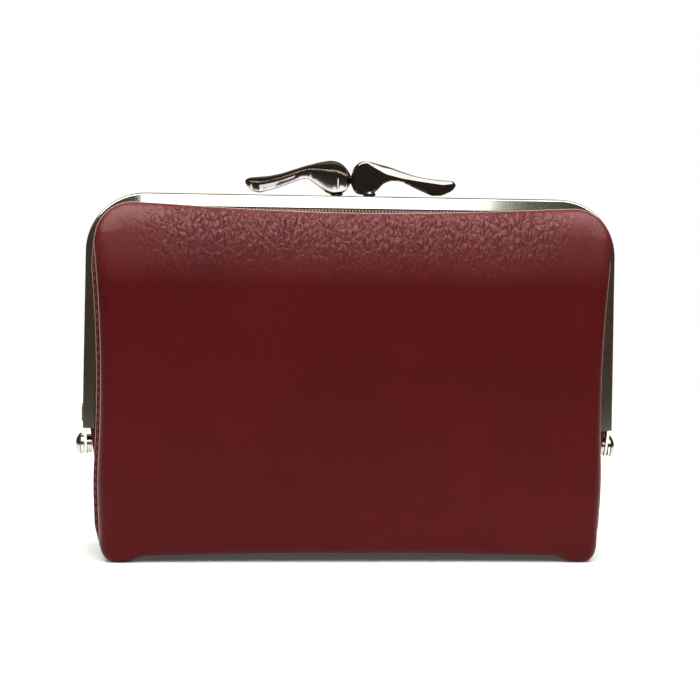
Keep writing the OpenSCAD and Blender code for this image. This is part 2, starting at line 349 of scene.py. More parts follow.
def woven(name, dark, light, pitch=0.45):
    """Plain-woven lining: crossed yarns with a soft sheen."""
    n = Nodes(name)
    scale = math.pi / (pitch * MM * 10)
    weave = n.math("MULTIPLY", *(n.wave(direction, scale, 0.4, Detail=1.0) for direction in ("X", "Z")))
    folds = n.noise(60, 3, 0.5)
    tone = n.math("ADD", n.math("MULTIPLY", weave, 0.6), n.math("MULTIPLY", folds, 0.4))
    n.to("Base Color", n.ramp(tone, [(0.15, dark), (0.8, light)]))
    n.to("Roughness", n.span(folds, 0.2, 0.8, 0.55, 0.75))
    n.set(Sheen_Weight=0.35, Sheen_Roughness=0.4)
    n.bump([(folds, 0.5, 0.5), (weave, 0.5, 0.08)])
    return n.material


def plated(name, colour, dark, roughness, wear=0.25):
    """Polished plated metal with faint clouds, fine scratches and duller spots."""
    n = Nodes(name)
    clouds = n.noise(90, 4, 0.6)
    scratches = n.noise(900, 4, 0.7, n.mapping((0.08, 1, 1), (0, 0.5, 0.3)))
    n.to("Base Color", n.ramp(clouds, [(0.2, dark), (0.75, colour)]))
    worn = n.math("MULTIPLY", scratches, wear * roughness)
    n.to("Roughness", n.math("ADD", worn, roughness * (1 - wear / 2)))
    n.set(Metallic=1.0)
    n.bump([(scratches, 0.06, 0.02), (clouds, 0.05, 0.1)])
    return n.material


def board_like(name, dark, light, scale=700):
    """Grey board or paper cord: short fibres."""
    n = Nodes(name)
    fibres = n.noise(scale, 5, 0.7, n.mapping((1, 1, 3)))
    n.to("Base Color", n.ramp(fibres, [(0.3, dark), (0.7, light)]))
    n.set(Roughness=0.85)
    n.bump([(fibres, 0.4, 0.08)])
    return n.material


BURGUNDY = leather("burgundy_leather", (0.046, 0.0024, 0.0029), (0.070, 0.0037, 0.0042),
                   (0.125, 0.0105, 0.0115), creases=0.24)
PANEL = leather("panel_leather", (0.050, 0.004, 0.005), (0.085, 0.007, 0.0085), (0.125, 0.015, 0.018), 0.5)
SUEDE = board_like("leather_underside", (0.10, 0.020, 0.020), (0.20, 0.05, 0.048), 1500)
EDGE = edge_paint("cut_edge", (0.50, 0.31, 0.28))
THREAD = thread("burgundy_thread", (0.17, 0.03, 0.032))
LINING = woven("lining_cloth", (0.045, 0.010, 0.012), (0.15, 0.035, 0.040))
NICKEL = plated("pale_nickel", (0.86, 0.83, 0.74), (0.66, 0.63, 0.54), 0.10)
RIVET = plated("rivet_nickel", (0.60, 0.58, 0.53), (0.40, 0.38, 0.34), 0.18)
GUNMETAL = plated("dark_nickel", (0.38, 0.34, 0.33), (0.29, 0.26, 0.25), 0.09)
STEEL = plated("plain_steel", (0.55, 0.55, 0.55), (0.35, 0.35, 0.35), 0.35)
BOARD = board_like("grey_board", (0.20, 0.18, 0.15), (0.42, 0.39, 0.33))
CORD = board_like("paper_cord", (0.30, 0.26, 0.20), (0.55, 0.49, 0.40), 1600)

# ---------------- cover

COVER_HALF = 58.0
WAIST_Z = 40.0
TOP_FLARE = 1.85
HIP = 0.55
TOP_CORNER = (51.2, COVER_TOP - 8.4, 8.4)
BOTTOM_CORNER = (54.3, 3.5, 3.5)
SAG = 1.75
ARCH = (1.0, 1.15)
ARCH_HALF = 52.0
ARCH_STEP = 4.0
OUTLINE_POINTS = 760


def cover_side(z):
    return (COVER_HALF + TOP_FLARE * np.clip((z - WAIST_Z) / 34, 0, 1) ** 2
            + HIP * np.exp(-((z - 18) / 10.0) ** 2))


def arch_z(x):
    """Height of the arched fold under the base."""
    bow = np.clip(1 - ((x - 8) / ARCH_HALF) ** 2, 0, 1)
    return smooth((ARCH_HALF - np.abs(x)) / ARCH_STEP) * (ARCH[0] + ARCH[1] * bow)


def cover_outline():
    """The cover's outline from the front, anticlockwise from the bottom middle."""
    bx = np.linspace(0, BOTTOM_CORNER[0], 60)
    bottom = np.stack([bx, arch_z(bx)], 1)
    low = arc(BOTTOM_CORNER[:2], BOTTOM_CORNER[2], -90, 0, 16)
    low[:, 0] += (cover_side(low[:, 1]) - BOTTOM_CORNER[0] - BOTTOM_CORNER[2]) * smooth(low[:, 1] / 3.5)
    z = np.linspace(BOTTOM_CORNER[1], TOP_CORNER[1], 90)
    side = np.stack([cover_side(z), z], 1)
    high = arc(TOP_CORNER[:2], TOP_CORNER[2], 0, 90, 30)
    tx = np.linspace(TOP_CORNER[0], 0, 60)
    top = np.stack([tx, COVER_TOP - SAG * np.clip(1 - (tx / TOP_CORNER[0]) ** 2, 0, 1) ** 1.3], 1)
    right = np.vstack([bottom, low[1:], side[1:], high[1:], top[1:]])
    left = right[::-1][1:-1] * np.array([-1, 1])
    even = resampled(np.vstack([right, left]), OUTLINE_POINTS, closed=True)
    for _ in range(3):
        even = (np.roll(even, 1, 0) + 2 * even + np.roll(even, -1, 0)) / 4
    return even


OUTLINE = cover_outline()
OUTWARD = -path_normals(OUTLINE, closed=True)
TOPNESS = smooth((OUTWARD[:, 1] - 0.15) / 0.8)
UNDERNESS = smooth((-OUTWARD[:, 1] - 0.25) / 0.65)
SPINE_ENDS = ((-32.0, 41.0), (32.0, 41.0))
CORE_R = 2.0
ROLL_RINGS = 18
FACE_RINGS = 76
COVER_LEATHER = 0.8
BASE_START_Y = -4.0
SPINE = np.stack([np.clip(OUTLINE[:, 0] * 0.62, SPINE_ENDS[0][0], SPINE_ENDS[1][0]),
                  np.full(OUTLINE_POINTS, SPINE_ENDS[0][1])], 1)


def top_creases(x, z):
    """Fine creases that fan down from the rounded top edge, in millimetres of height."""
    drop = COVER_TOP - SAG - z
    u = x / (1 + 0.016 * np.clip(drop, 0, 30))
    v = drop * 0.16
    slant = u + 0.25 * drop * np.sin(x / 17)
    waves = 1 - np.abs(2 * lattice_noise(slant / 1.25 + 40, v * 1.3 + 9, 3) - 1)
    finer = 1 - np.abs(2 * lattice_noise(slant / 0.7 + 80, v * 2.6 + 3, 5) - 1)
    reach = smooth((drop + 1.5) / 2.5) * (1 - smooth((drop - 4.5) / 8.0))
    sides = 1 - smooth((np.abs(x) - 39) / 9)
    patch = 0.35 + 0.65 * lattice_noise(x / 9 + 5, v * 0.5 + 2, 7)
    return -(0.30 * waves ** 4 + 0.13 * finer ** 3) * reach * sides * patch


def soft_swell(x, z):
    """Slow unevenness of the padding, level near the two points around which the mesh's rings turn."""
    swell = lattice_noise(x / 26 + 11, z / 22 + 4, 11) - 0.5
    for end in SPINE_ENDS:
        near = smooth(np.hypot(x - end[0], z - end[1]) / 5)
        level = lattice_noise(np.array(end[0] / 26 + 11), np.array(end[1] / 22 + 4), 11) - 0.5
        swell = swell * near + level * (1 - near)
    return 0.3 * swell


def lean_back(z):
    """The padded face falls back a little towards the top, in millimetres."""
    return 1.5 * np.clip((z - 46) / 36, 0, 1) ** 2


def cover_skin():
    """Padded front leather from the back seam, over the rounded edges and face, and under the base."""
    back = COVER_RIM * (1 - UNDERNESS) + BASE_START_Y * UNDERNESS
    edge = (COVER_FRONT + 3.4) * (1 - UNDERNESS) + (COVER_FRONT + 1.8) * UNDERNESS
    top_reach = 6.3 + 3.4 * smooth((45 - np.abs(OUTLINE[:, 0])) / 16)
    reach = (2.8 * (1 - TOPNESS) + top_reach * TOPNESS) * (1 - UNDERNESS) + 1.9 * UNDERNESS
    rings = []
    for t in np.linspace(0, 1, 6)[:-1]:
        inset = 0.3 * (1 - t) ** 2 * (1 - UNDERNESS)
        rings.append(np.column_stack([OUTLINE - OUTWARD * inset[:, None], back + (edge - back) * t]))
    for a in np.radians(np.linspace(0, 90, ROLL_RINGS)):
        at = OUTLINE - OUTWARD * (reach * (1 - np.cos(a)))[:, None]
        rings.append(np.column_stack([at, edge + (COVER_FRONT + lean_back(at[:, 1]) - edge) * np.sin(a)]))
    shoulder = rings[-1][:, :2]
    spoke = shoulder - SPINE
    core = SPINE + CORE_R * spoke / np.linalg.norm(spoke, axis=1)[:, None]
    for t in np.linspace(0, 1, FACE_RINGS)[1:]:
        at = shoulder * (1 - t) + core * t
        rings.append(np.column_stack([at, COVER_FRONT + lean_back(at[:, 1])]))
    flat = np.array(rings)
    x, z, y = flat[..., 0], flat[..., 1], flat[..., 2]
    fronting = smooth((COVER_FRONT + 3.0 - y) / 2.0)
    y = y - (top_creases(x, z) + soft_swell(x, z)) * fronting
    rows, cols = x.shape
    faces = grid_faces(rows, cols, wrap=True)
    faces.append(tuple((rows - 1) * cols + k for k in range(cols)))
    skin = piece("cover_skin", np.stack([x, y, z], -1), faces, [BURGUNDY, SUEDE, EDGE], "burgundy_leather")
    weld(skin, 0.02)
    thicken(skin, COVER_LEATHER)
    return skin


def thicken(obj, thickness):
    """Gives a skin its leather thickness on the inner side: inner face suede, rim a cut edge."""
    modifier = obj.modifiers.new("thickness", "SOLIDIFY")
    modifier.thickness = thickness * MM
    modifier.offset = -1
    modifier.material_offset = 1
    modifier.material_offset_rim = 2
    modifier.use_even_offset = False
    bpy.context.view_layer.objects.active = obj
    obj.select_set(True)
    bpy.ops.object.modifier_apply(modifier=modifier.name)
    obj.select_set(False)


def outline_at(offset):
    """The cover's outline moved outwards by an offset that may vary from point to point."""
    return OUTLINE + OUTWARD * np.broadcast_to(np.asarray(offset, float).reshape(-1, 1), (OUTLINE_POINTS, 1))


def outline_above(z):
    """Places on the outline above a height, in order from its right foot over the top to its left one."""
    keep = OUTLINE[:, 1] > z
    start = int(np.argmax(np.roll(~keep, 1) & keep))
    return [i for i in np.roll(np.arange(OUTLINE_POINTS), -start) if keep[i]]


def flange_offset():
    """The rear layer shows past the padded front: most on the left, least along the top."""
    left = smooth((-OUTLINE[:, 0] - 40) / 15)
    upright_part = 1 - smooth((OUTLINE[:, 1] - 67) / 9)
    merging = smooth((OUTLINE[:, 1] - 2.0) / 7)
    return 0.10 + (0.62 + 0.45 * left) * upright_part * merging


def cover_panel():
    """Rear layer of the cover, with its pale cut edge."""
    offset = flange_offset()
    base = outline_at(offset)
    base[:, 1] = np.maximum(base[:, 1], 3.15)
    steps = [(-3.0, 0.05), (-0.5, 0.03), (-0.12, 0.0), (0.0, 0.18),
             (0.0, 0.62), (-0.12, 0.8), (-0.5, 0.85)]
    rings = [np.column_stack([base + OUTWARD * d, np.full(OUTLINE_POINTS, COVER_RIM + y)]) for d, y in steps]
    inner = rings[-1][:, :2]
    for t in np.linspace(0, 1, 14)[1:]:
        at = inner * (1 - t) + SPINE * t
        rings.append(np.column_stack([at, np.full(OUTLINE_POINTS, COVER_RIM + steps[-1][1])]))
    points = np.array(rings)[..., [0, 2, 1]]
    faces = grid_faces(len(rings), OUTLINE_POINTS, wrap=True, flip=True)
    indices = np.zeros(len(faces), int)
    indices[2 * OUTLINE_POINTS:5 * OUTLINE_POINTS] = 1
    return weld(piece("cover_panel", points, faces, [PANEL, EDGE], "panel_leather", indices), 0.02)


def tube(path, radius, sides):
    """Points and faces of a round tube along an open path of 3-D points."""
    path = np.asarray(path, float)
    count = len(path)
    tangent = np.gradient(path, axis=0)
    tangent /= np.linalg.norm(tangent, axis=1)[:, None]
    side = np.cross(tangent, np.array([0.0, 1.0, 0.0]))
    side /= np.maximum(np.linalg.norm(side, axis=1), 1e-9)[:, None]
    other = np.cross(side, tangent)
    radius = np.broadcast_to(np.asarray(radius, float).reshape(-1, 1), (count, 1))
    a = np.linspace(0, 2 * math.pi, sides, endpoint=False)
    ring = np.cos(a)[None, :, None] * side[:, None, :] + np.sin(a)[None, :, None] * other[:, None, :]
    points = path[:, None, :] + ring * radius[:, :, None]
    return points.reshape(-1, 3), capped_faces(count, sides)


def joined(parts):
    """Several (points, faces) as one."""
    points, faces, start = [], [], 0
    for p, f in parts:
        p = np.asarray(p).reshape(-1, 3)
        points.append(p)
        faces += [tuple(start + k for k in face) for face in f]
        start += len(p)
    return np.vstack(points), faces


def cover_bead():
    """Pale cut edge of the front leather, seen as a thin line beside the padded face."""
    order = outline_above(3.0)
    at = outline_at(0.10)[order]
    wobble = 0.05 * np.sin(np.arange(len(order)) * 2.1)
    path = np.column_stack([at[:, 0], np.full(len(order), COVER_RIM - 0.35) + wobble, at[:, 1]])
    points, faces = tube(path, 0.15, 8)
    return piece("cover_cut_edge", points, faces, [EDGE], "burgundy_leather")


def stitches(name, path, pitch, length, radius, slot, lift):
    """A row of short thread stitches along a path of 3-D points; lift is the way they stand proud."""
    path = np.asarray(path, float)
    total = np.linalg.norm(np.diff(path, axis=0), axis=1).sum()
    count = max(2, int(total / pitch))
    fine = resampled(path, count * 8 + 1)
    parts = []
    for k in range(count):
        middle = fine[k * 8 + 4]
        ahead = fine[k * 8 + 7] - fine[k * 8 + 1]
        ahead /= np.linalg.norm(ahead)
        t = np.linspace(-1, 1, 7)
        bow = (1 - t ** 2) * radius * 0.9 - radius * 0.35
        line = middle + np.outer(t * length / 2, ahead) + np.outer(bow, lift)
        parts.append(tube(line, radius * np.sqrt(np.clip(1.02 - t ** 4, 0.05, 1)), 6))
    return piece(name, *joined(parts), [THREAD], slot)


# ---------------- frame

CORNER_R = 13.6
CHANNEL_W = 5.0
SHEET = 0.8
PARTING = 0.1
HALF_DEPTH = 5.5
SPLAY = math.radians(0.75)
ARM_END_Z = HINGE_Z + 4.3
FRAME_HALF = 62.5
FRAME_STATIONS = 1700
TOOTH_PITCH, TOOTH_DEPTH, TOOTH_SLANT = 0.78, 0.11, 2.2
EYE_R = 2.5
TAB_SHEET = 0.7
CORNER_Z = FRAME_TOP - CORNER_R
CORNER_X = (FRAME_HALF - CORNER_R * math.cos(SPLAY)
            - math.tan(SPLAY) * (CORNER_Z + CORNER_R * math.sin(SPLAY) - HINGE_Z))


def arm_half(z, inset):
    """Half width of the frame at a height, this far in from its outer face."""
    r = CORNER_R - inset
    straight = CORNER_X + r * math.cos(SPLAY) + math.tan(SPLAY) * (CORNER_Z + r * math.sin(SPLAY) - z)
    above = np.clip(np.asarray(z, float) - CORNER_Z, 0, r)
    return np.where(z > CORNER_Z, CORNER_X + np.sqrt(r * r - above * above), straight)


def frame_path(count):
    """Outer line of the frame in the XZ plane, from the left arm's end over the top to the right arm's."""
    corner = arc((CORNER_X, CORNER_Z), CORNER_R, 90, math.degrees(SPLAY), 60)
    z = np.linspace(corner[-1, 1], ARM_END_Z, 30)[1:]
    right = np.vstack([corner, np.column_stack([arm_half(z, 0), z])])
    left = right[::-1] * np.array([-1, 1])
    return resampled(np.vstack([left, right]), count)


def channel_section(side):
    """Rounded U section as (distance in from the outer face, depth), from the parting lip around.

    Its face leans back to a rounded shoulder, and ends at a small step down to the gripping lip.
    """
    near, far = PARTING, PARTING + HALF_DEPTH
    shoulder, small, lip, lean, face_end = 0.5, 0.35, 0.35, 9.0, 2.75
    setback = math.tan(math.radians(lean)) * (face_end - shoulder)
    outer = np.vstack([
        [[CHANNEL_W, near]], [[small, near]],
        arc((small, near + small), small, 270, 180, 5)[1:],
        arc((shoulder, far - shoulder - setback), shoulder, 180, 90 + lean, 18),
        [[face_end, far - 0.03], [2.88, far - 0.16], [3.1, far - 0.16], [4.1, far - 0.16],
         [CHANNEL_W - lip, far - 0.06]],
        arc((CHANNEL_W - lip, far - lip), lip, 90, 0, 5)[1:],
    ])
    inner = np.array([
        [CHANNEL_W, far - SHEET], [1.1, far - SHEET - 0.25], [SHEET, far - SHEET - 0.6],
        [SHEET, near + SHEET], [CHANNEL_W, near + SHEET],
    ])
    section = np.vstack([outer, inner])
    section[:, 1] *= -side
    return section


def channel_sweep(side):
    """The U section swept along the frame, with fine teeth pressed into the lip that grips the leather."""
    path = frame_path(FRAME_STATIONS)
    inward = -path_normals(path)
    section = channel_section(side)
    along_path = np.concatenate([[0], np.cumsum(np.linalg.norm(np.diff(path, axis=0), axis=1))])
    n, y = section[:, 0], section[:, 1]
    points = np.zeros((len(path), len(section), 3))
    points[..., 0] = path[:, None, 0] + inward[:, None, 0] * n
    points[..., 2] = path[:, None, 1] + inward[:, None, 1] * n
    points[..., 1] = y
    toothed = (np.abs(y) > PARTING + HALF_DEPTH - 0.2) & (n > 3.0)
    phase = along_path[:, None] * 2 * math.pi / TOOTH_PITCH + n[None, toothed] * TOOTH_SLANT
    points[:, toothed, 1] += side * TOOTH_DEPTH * np.maximum(0, np.sin(phase))
    return points.reshape(-1, 3), capped_faces(len(path), len(section))


def chaikin(outline):
    """Rounds the corners of a closed outline."""
    after = np.roll(outline, -1, 0)
    return np.stack([outline * 0.78 + after * 0.22, outline * 0.22 + after * 0.78], 1).reshape(-1, 2)


def plate_x(outline, x0, x1, chamfer=0.12):
    """A flat plate across X with softened rims; the outline is (y, z), closed."""
    if (outline[:, 0] * np.roll(outline[:, 1], -1) - np.roll(outline[:, 0], -1) * outline[:, 1]).sum() < 0:
        outline = outline[::-1]
    inward = path_normals(outline, closed=True)
    steps = [(x0, chamfer), (x0 + chamfer, 0), (x1 - chamfer, 0), (x1, chamfer)]
    rings = [np.column_stack([np.full(len(outline), x), outline + inward * inset]) for x, inset in steps]
    return np.vstack(rings), capped_faces(len(steps), len(outline), caps_reversed=True)


def hinge_tab(side, x0):
    """Tab that carries on from the arm and widens into a round eye around the rivet."""
    eye = arc((0, HINGE_Z), EYE_R, 75 if side > 0 else 105, -160 if side > 0 else 340, 28)
    arm = np.array([[-4.6, 4.6], [-4.9, 9.0], [-0.9, 9.0], [-0.9, 5.4]]) * np.array([side, 1])
    arm[:, 1] += HINGE_Z
    return plate_x(chaikin(resampled(np.vstack([eye, arm]), 70, closed=True)), x0, x0 + TAB_SHEET)


def frame_half(name, side, tab_x, body, node):
    parts = [channel_sweep(side)]
    for mirror in (1, -1):
        points, faces = hinge_tab(side, tab_x)
        if mirror < 0:
            points = points * np.array([-1, 1, 1])
            faces = [face[::-1] for face in faces]
        parts.append((points, faces))
    obj = piece(name, *joined(parts), [NICKEL], "frame_metal")
    weld(obj, 0.001)
    obj.data.set_sharp_from_angle(angle=math.radians(40))
    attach(obj, body)
    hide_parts(node)


# ---------------- clasp levers
# Outlines of both levers seen from the front, as (distance from the middle, height above the frame)

LEVER_RIGHT = {
    "top": [(-0.63, 3.9), (-0.45, 5.2), (-0.11, 6.44), (0.8, 7.57), (1.7, 8.05), (2.66, 8.28), (4.17, 8.01),
            (8.31, 6.97), (11.2, 5.9), (13.99, 5.03), (16.8, 4.45), (19.67, 4.13), (23.07, 3.96), (23.6, 3.6),
            (23.85, 3.0)],
    "bottom": [(-0.63, 3.3), (-0.41, 2.36), (0.1, 1.2), (0.93, 0.52), (2.4, 0.35), (3.94, 0.39), (5.42, 1.34),
               (6.89, 3.04), (8.75, 3.82), (11.39, 3.49), (15.19, 1.7), (18.24, 0.42), (20.5, 0.48),
               (23.12, 1.65), (23.85, 2.8)],
    "bevel": [(-0.63, 3.7), (-0.3, 5.2), (0.5, 6.8), (1.7, 7.7), (2.94, 7.85), (4.46, 6.89), (7.48, 5.28),
              (11.25, 4.35), (15.77, 3.68), (20.68, 3.03), (22.94, 3.33), (23.85, 2.95)],
    "low": [(-0.63, 3.5), (0.0, 2.0), (1.0, 1.0), (3.6, 0.85), (4.56, 1.33), (6.77, 3.53), (8.63, 4.1),
            (12.02, 3.5), (15.81, 1.9), (18.85, 0.85), (20.68, 0.95), (23.0, 1.95), (23.85, 2.85)],
    "front": [(-0.63, -1.2), (0.3, -2.9), (2.9, -3.7), (5.5, -3.6), (8.5, -3.5), (12, -3.9), (17, -4.5),
              (21, -4.7), (23.2, -4.3), (23.85, -3.2)],
    "back": [(-0.63, -0.6), (0.3, 1.0), (2.9, 1.8), (5.5, 0.9), (8.5, -0.5), (12, -1.3), (17, -1.3),
             (21, -1.3), (23.2, -1.7), (23.85, -2.8)],
}
LEVER_LEFT = {
    "top": [(0.24, 4.1), (0.4, 4.8), (1.42, 6.25), (2.3, 7.2), (3.34, 7.9), (4.5, 8.2), (5.6, 8.24),
            (7.86, 7.82), (10.9, 7.0), (13.84, 6.03), (16.6, 5.1), (19.44, 4.44), (23.9, 4.0),
            (24.8, 3.75), (25.15, 3.2)],
    "bottom": [(0.24, 3.5), (0.5, 2.9), (0.98, 2.2), (1.6, 1.25), (2.46, 0.62), (4.72, 0.21), (6.23, 0.75),
               (8.52, 2.58), (10.43, 4.0), (11.93, 3.82), (17.53, 1.67), (21.63, 0.48), (22.6, 0.55),
               (23.7, 0.95), (24.6, 1.85), (25.05, 2.6), (25.15, 3.0)],
    "front": [(0.24, 0.9), (1.2, -0.9), (3.6, -1.8), (6.5, -0.9), (9.5, 0.4), (13, 1.2), (18, 1.3), (22, 1.3),
              (24.4, 1.8), (25.15, 2.9)],
    "back": [(0.24, 1.2), (1.2, 2.9), (3.6, 3.7), (6.5, 3.6), (9.5, 3.5), (13, 3.9), (18, 4.5), (22, 4.7),
             (24.4, 4.2), (25.15, 3.1)],
}
LEVER_STATIONS = 90
LEVER_POST = [(1.0, -1.5), (1.0, 0.1), (1.3, 0.1), (1.45, 0.2), (1.45, 0.7), (1.25, 1.0), (1.1, 1.2),
              (1.1, 3.0)]
POST_PLACE = (3.6, 2.85)


def along(table, x):
    """A table of points read off at x, with its kinks eased."""
    xs, ys = np.array(table, float).T
    step = 0.35
    return sum(np.interp(np.clip(x + d * step, xs[0], xs[-1]), xs, ys) * w
               for d, w in ((-1, 0.25), (0, 0.5), (1, 0.25)))


def lever_rings(shape, faceted):
    """Cross-sections along a lever, with a flat bevelled face or a hollow one."""
    x0, x1 = shape["top"][0][0], shape["top"][-1][0]
    t = np.linspace(0, math.pi, LEVER_STATIONS)
    x = x0 + (x1 - x0) * (1 - np.cos(t)) / 2
    top, bottom = along(shape["top"], x), along(shape["bottom"], x)
    top, bottom = np.maximum(top, bottom + 0.05), np.minimum(bottom, top)
    front, back = along(shape["front"], x), along(shape["back"], x)
    width, height = back - front, top - bottom
    if faceted:
        bevel = np.clip(along(shape["bevel"], x), bottom + 0.12 * height, top - 0.06 * height)
        low = np.clip(along(shape["low"], x), bottom + 0.03 * height, bevel - 0.08 * height)
        section = [
            (front, low), (front - 0.02 * (bevel - low), (low + bevel) / 2), (front, bevel),
            (front + 0.34 * (top - bevel), bevel + 0.72 * (top - bevel)),
            (front + 0.54 * (top - bevel), bevel + 0.95 * (top - bevel)),
            (front + 0.85 * (top - bevel), top - 0.008 * height), (front + 0.5 * width, top),
            (front + 0.62 * width, top - 0.04 * height), (front + 0.84 * width, top - 0.17 * height),
            (back, top - 0.42 * height),
            (back, bottom + 0.34 * height), (front + 0.72 * width, bottom + 0.07 * height),
            (front + 0.34 * width, bottom),
        ]
    else:
        section = [
            (front + 0.02 * height, bottom + 0.08 * height), (front + 0.07 * height, bottom + 0.26 * height),
            (front + 0.12 * height, bottom + 0.50 * height), (front + 0.12 * height, top - 0.36 * height),
            (front, top - 0.27 * height),
            (front, top - 0.18 * height), (front + 0.005 * height, top - 0.10 * height),
            (front + 0.10 * height, top - 0.005 * height), (front + 0.3 * width, top),
            (front + 0.6 * width, top - 0.05 * height),
            (back, top - 0.36 * height), (back, bottom + 0.36 * height),
            (front + 0.78 * width, bottom + 0.05 * height), (front + 0.42 * width, bottom),
        ]
    return np.stack([np.stack([x, y, z + FRAME_TOP], -1) for y, z in section], 1)


def lathe_z(profile, centre, sides=48):
    """A turned shape about a vertical line: profile is (radius, height above the frame)."""
    a = np.linspace(0, 2 * math.pi, sides, endpoint=False)
    rings = [np.column_stack([centre[0] + r * np.cos(a), centre[1] + r * np.sin(a),
                              np.full(sides, FRAME_TOP + z)]) for r, z in profile]
    return np.vstack(rings), capped_faces(len(profile), sides, caps_reversed=True)


def lever(name, shape, faceted, side, body, node):
    rings = lever_rings(shape, faceted)
    if side < 0:
        rings = rings * np.array([-1, 1, 1])
    body_of_lever = rings.reshape(-1, 3), capped_faces(*rings.shape[:2])
    post = lathe_z(LEVER_POST, (side * POST_PLACE[0], -side * POST_PLACE[1]))
    obj = piece(name, *joined([body_of_lever, post]), [GUNMETAL], "lever_metal")
    weld(obj, 0.002)
    obj.data.set_sharp_from_angle(angle=math.radians(20 if faceted else 34))
    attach(obj, body)
    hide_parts(node)


# ---------------- walls and base

WALL_INSET = 1.8
WALL_FOOT_Z = 4.05
WALL_FOOT_HALF = 57.0
WALL_TOP = CORNER_Z + CORNER_R - WALL_INSET
REAR_EDGE_Y = 4.78
REAR_SWELL = 7.7
HEEL_R = 2.5
SKIN = 1.1


def wall_half(z):
    """Half width of the coin pocket: narrow at the base, and held by the frame above the hinge."""
    z = np.asarray(z, float)
    held = float(arm_half(ARM_END_Z, WALL_INSET))
    rise = np.clip((z - WALL_FOOT_Z) / (ARM_END_Z - WALL_FOOT_Z), 0, 1)
    low = WALL_FOOT_HALF + (held - WALL_FOOT_HALF) * rise
    return np.where(z < ARM_END_Z, low, arm_half(np.maximum(z, ARM_END_Z), WALL_INSET))


def wall_heights(foot, straight=46, corner=22):
    low = np.linspace(foot, CORNER_Z, straight)
    high = CORNER_Z + (WALL_TOP - CORNER_Z) * np.sin(np.radians(np.linspace(0, 90, corner)))
    return np.concatenate([low, high[1:]])


def rear_profile(u, z, half):
    """Depth of the rear leather's outer face at a fraction u across and a height z."""
    edge = half * (1 - np.abs(u))
    r = 2.6
    inside = np.clip(r - edge, 0, r)
    low = REAR_Y - (r - np.sqrt(r * r - inside * inside))
    swell = smooth((0.9 - np.abs(u)) / 0.45) * smooth((FRAME_TOP - CHANNEL_W - 4 - z) / 40)
    high = REAR_EDGE_Y + REAR_SWELL * swell
    mix = smooth((z - 14) / 13)
    return low * (1 - mix) + high * mix


def gathers(u, z, half):
    """Small puckers where the leather runs into the frame, in millimetres."""
    x = u * half
    from_side = half - np.abs(x)
    from_top = WALL_TOP - z
    near_top = smooth((15 - from_top) / 9) * smooth((from_top - 3.6) / 2.5)
    near_side = smooth((13 - from_side) / 8) * smooth((from_side - 3.6) / 2.5) * smooth((z - 30) / 8)
    tuck_top = 0.55 * (np.abs(2 * lattice_noise(x / 3.4 + 30, z / 30, 21) - 1) - 0.5)
    tuck_side = 0.5 * (np.abs(2 * lattice_noise(z / 3.6 + 60, x / 30, 23) - 1) - 0.5)
    slow = 0.5 * (lattice_noise(x / 17 + 7, z / 15 + 2, 25) - 0.5)
    free = smooth((from_top - 5) / 12) * smooth((from_side - 5) / 9)
    return tuck_top * near_top + tuck_side * near_side + slow * free


def sheet_mesh(name, grid, thickness, outer, inner, slot):
    """A skin from a grid of points on its outer face, given its thickness on the other side."""
    rows, cols = grid.shape[:2]
    rim = EDGE if outer in (BURGUNDY, PANEL) else outer
    obj = piece(name, grid, grid_faces(rows, cols), [outer, inner, rim], slot)
    thicken(obj, thickness)
    return obj


def columns(count):
    """Fractions across a wall from -1 to 1, closer together near its ends."""
    u = np.linspace(-1, 1, count)
    return np.sign(u) * (1 - (1 - np.abs(u)) ** 1.25)


def rear_skin():
    """Leather under the base, round the heel and up the back of the pocket into the rear channel."""
    u = columns(191)
    rows = []
    for y in np.linspace(BASE_START_Y, REAR_Y - HEEL_R, 14)[:-1]:
        x = u * WALL_FOOT_HALF
        rise = 0.5 * smooth((np.abs(u) - 0.985) / 0.015)
        rows.append(np.column_stack([x, np.full_like(x, y), arch_z(x) + rise]))
    for a in np.radians(np.linspace(-90, 0, 12)):
        x = u * WALL_FOOT_HALF
        edge = rear_profile(u, 2.0, WALL_FOOT_HALF) - REAR_Y
        y = REAR_Y - HEEL_R + HEEL_R * math.cos(a) + edge * (1 + math.sin(a))
        z = arch_z(x) * (1 - (1 + math.sin(a)) * 0.6) + HEEL_R * (1 + math.sin(a))
        rows.append(np.column_stack([x, y, z]))
    for z in wall_heights(HEEL_R + 0.9, 64):
        half = float(wall_half(z))
        y = rear_profile(u, z, half) + gathers(u, z, half)
        rows.append(np.column_stack([u * half, np.minimum(y, REAR_Y), np.full_like(u, z)]))
    return sheet_mesh("rear_leather", np.array(rows)[::-1], SKIN, BURGUNDY, SUEDE, "burgundy_leather")


def rear_lining():
    """Cloth inside the back of the pocket."""
    u = columns(121)
    rows = []
    for z in wall_heights(4.9, 50):
        half = float(wall_half(z)) - 0.15 - 1.2 * float(smooth((16 - z) / 6))
        y = rear_profile(u, z, half) + gathers(u, z, half) * 0.6 - SKIN - 0.12
        y += 0.16 * (lattice_noise(u * 9 + 3, z / 9.0 + 1, 31) - 0.6)
        rows.append(np.column_stack([u * half, y, np.full_like(u, z)]))
    return sheet_mesh("rear_lining", np.array(rows)[::-1], 0.45, LINING, LINING, "lining_fabric")


